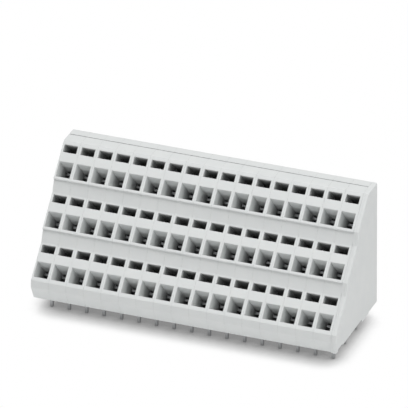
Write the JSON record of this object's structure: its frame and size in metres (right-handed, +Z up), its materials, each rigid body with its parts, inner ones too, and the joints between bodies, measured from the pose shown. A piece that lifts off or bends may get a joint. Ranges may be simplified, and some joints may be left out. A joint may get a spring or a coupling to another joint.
{
  "type": "pcb terminal block",
  "caption": "Stepped multi-level PCB terminal block: a row of light grey moulded slices with sloping wire entries and actuation slots over spring clamps, an end cover and solder pins.",
  "frame": {"origin": "middle of the solder pin grid, on the board's surface that the housing feet stand on", "axes": "+X along the row towards the end cover, +Y from the wire side to the back, +Z up from the board"},
  "size_m": [0.0879, 0.0319, 0.0406],
  "materials": {
    "housing_polyamide": "fine moulded satin",
    "tinned_copper": "bright tin plate on copper",
    "spring_steel": "rolled stainless spring strip"
  },
  "bodies": {
    "root": {"housing_01": "housing_polyamide", "housing_02": "housing_polyamide", "housing_03": "housing_polyamide", "housing_04": "housing_polyamide", "housing_05": "housing_polyamide", "housing_06": "housing_polyamide", "housing_07": "housing_polyamide", "housing_08": "housing_polyamide", "housing_09": "housing_polyamide", "housing_10": "housing_polyamide", "housing_11": "housing_polyamide", "housing_12": "housing_polyamide", "housing_13": "housing_polyamide", "housing_14": "housing_polyamide", "housing_15": "housing_polyamide", "housing_16": "housing_polyamide", "housing_17": "housing_polyamide", "end_cover": "housing_polyamide", "current_bars_01": "tinned_copper", "current_bars_02": "tinned_copper", "current_bars_03": "tinned_copper", "current_bars_04": "tinned_copper", "current_bars_05": "tinned_copper", "current_bars_06": "tinned_copper", "current_bars_07": "tinned_copper", "current_bars_08": "tinned_copper", "current_bars_09": "tinned_copper", "current_bars_10": "tinned_copper", "current_bars_11": "tinned_copper", "current_bars_12": "tinned_copper", "current_bars_13": "tinned_copper", "current_bars_14": "tinned_copper", "current_bars_15": "tinned_copper", "current_bars_16": "tinned_copper", "current_bars_17": "tinned_copper", "clamp_springs_01": "spring_steel", "clamp_springs_02": "spring_steel", "clamp_springs_03": "spring_steel", "clamp_springs_04": "spring_steel", "clamp_springs_05": "spring_steel", "clamp_springs_06": "spring_steel", "clamp_springs_07": "spring_steel", "clamp_springs_08": "spring_steel", "clamp_springs_09": "spring_steel", "clamp_springs_10": "spring_steel", "clamp_springs_11": "spring_steel", "clamp_springs_12": "spring_steel", "clamp_springs_13": "spring_steel", "clamp_springs_14": "spring_steel", "clamp_springs_15": "spring_steel", "clamp_springs_16": "spring_steel", "clamp_springs_17": "spring_steel"}
  },
  "joints": []
}
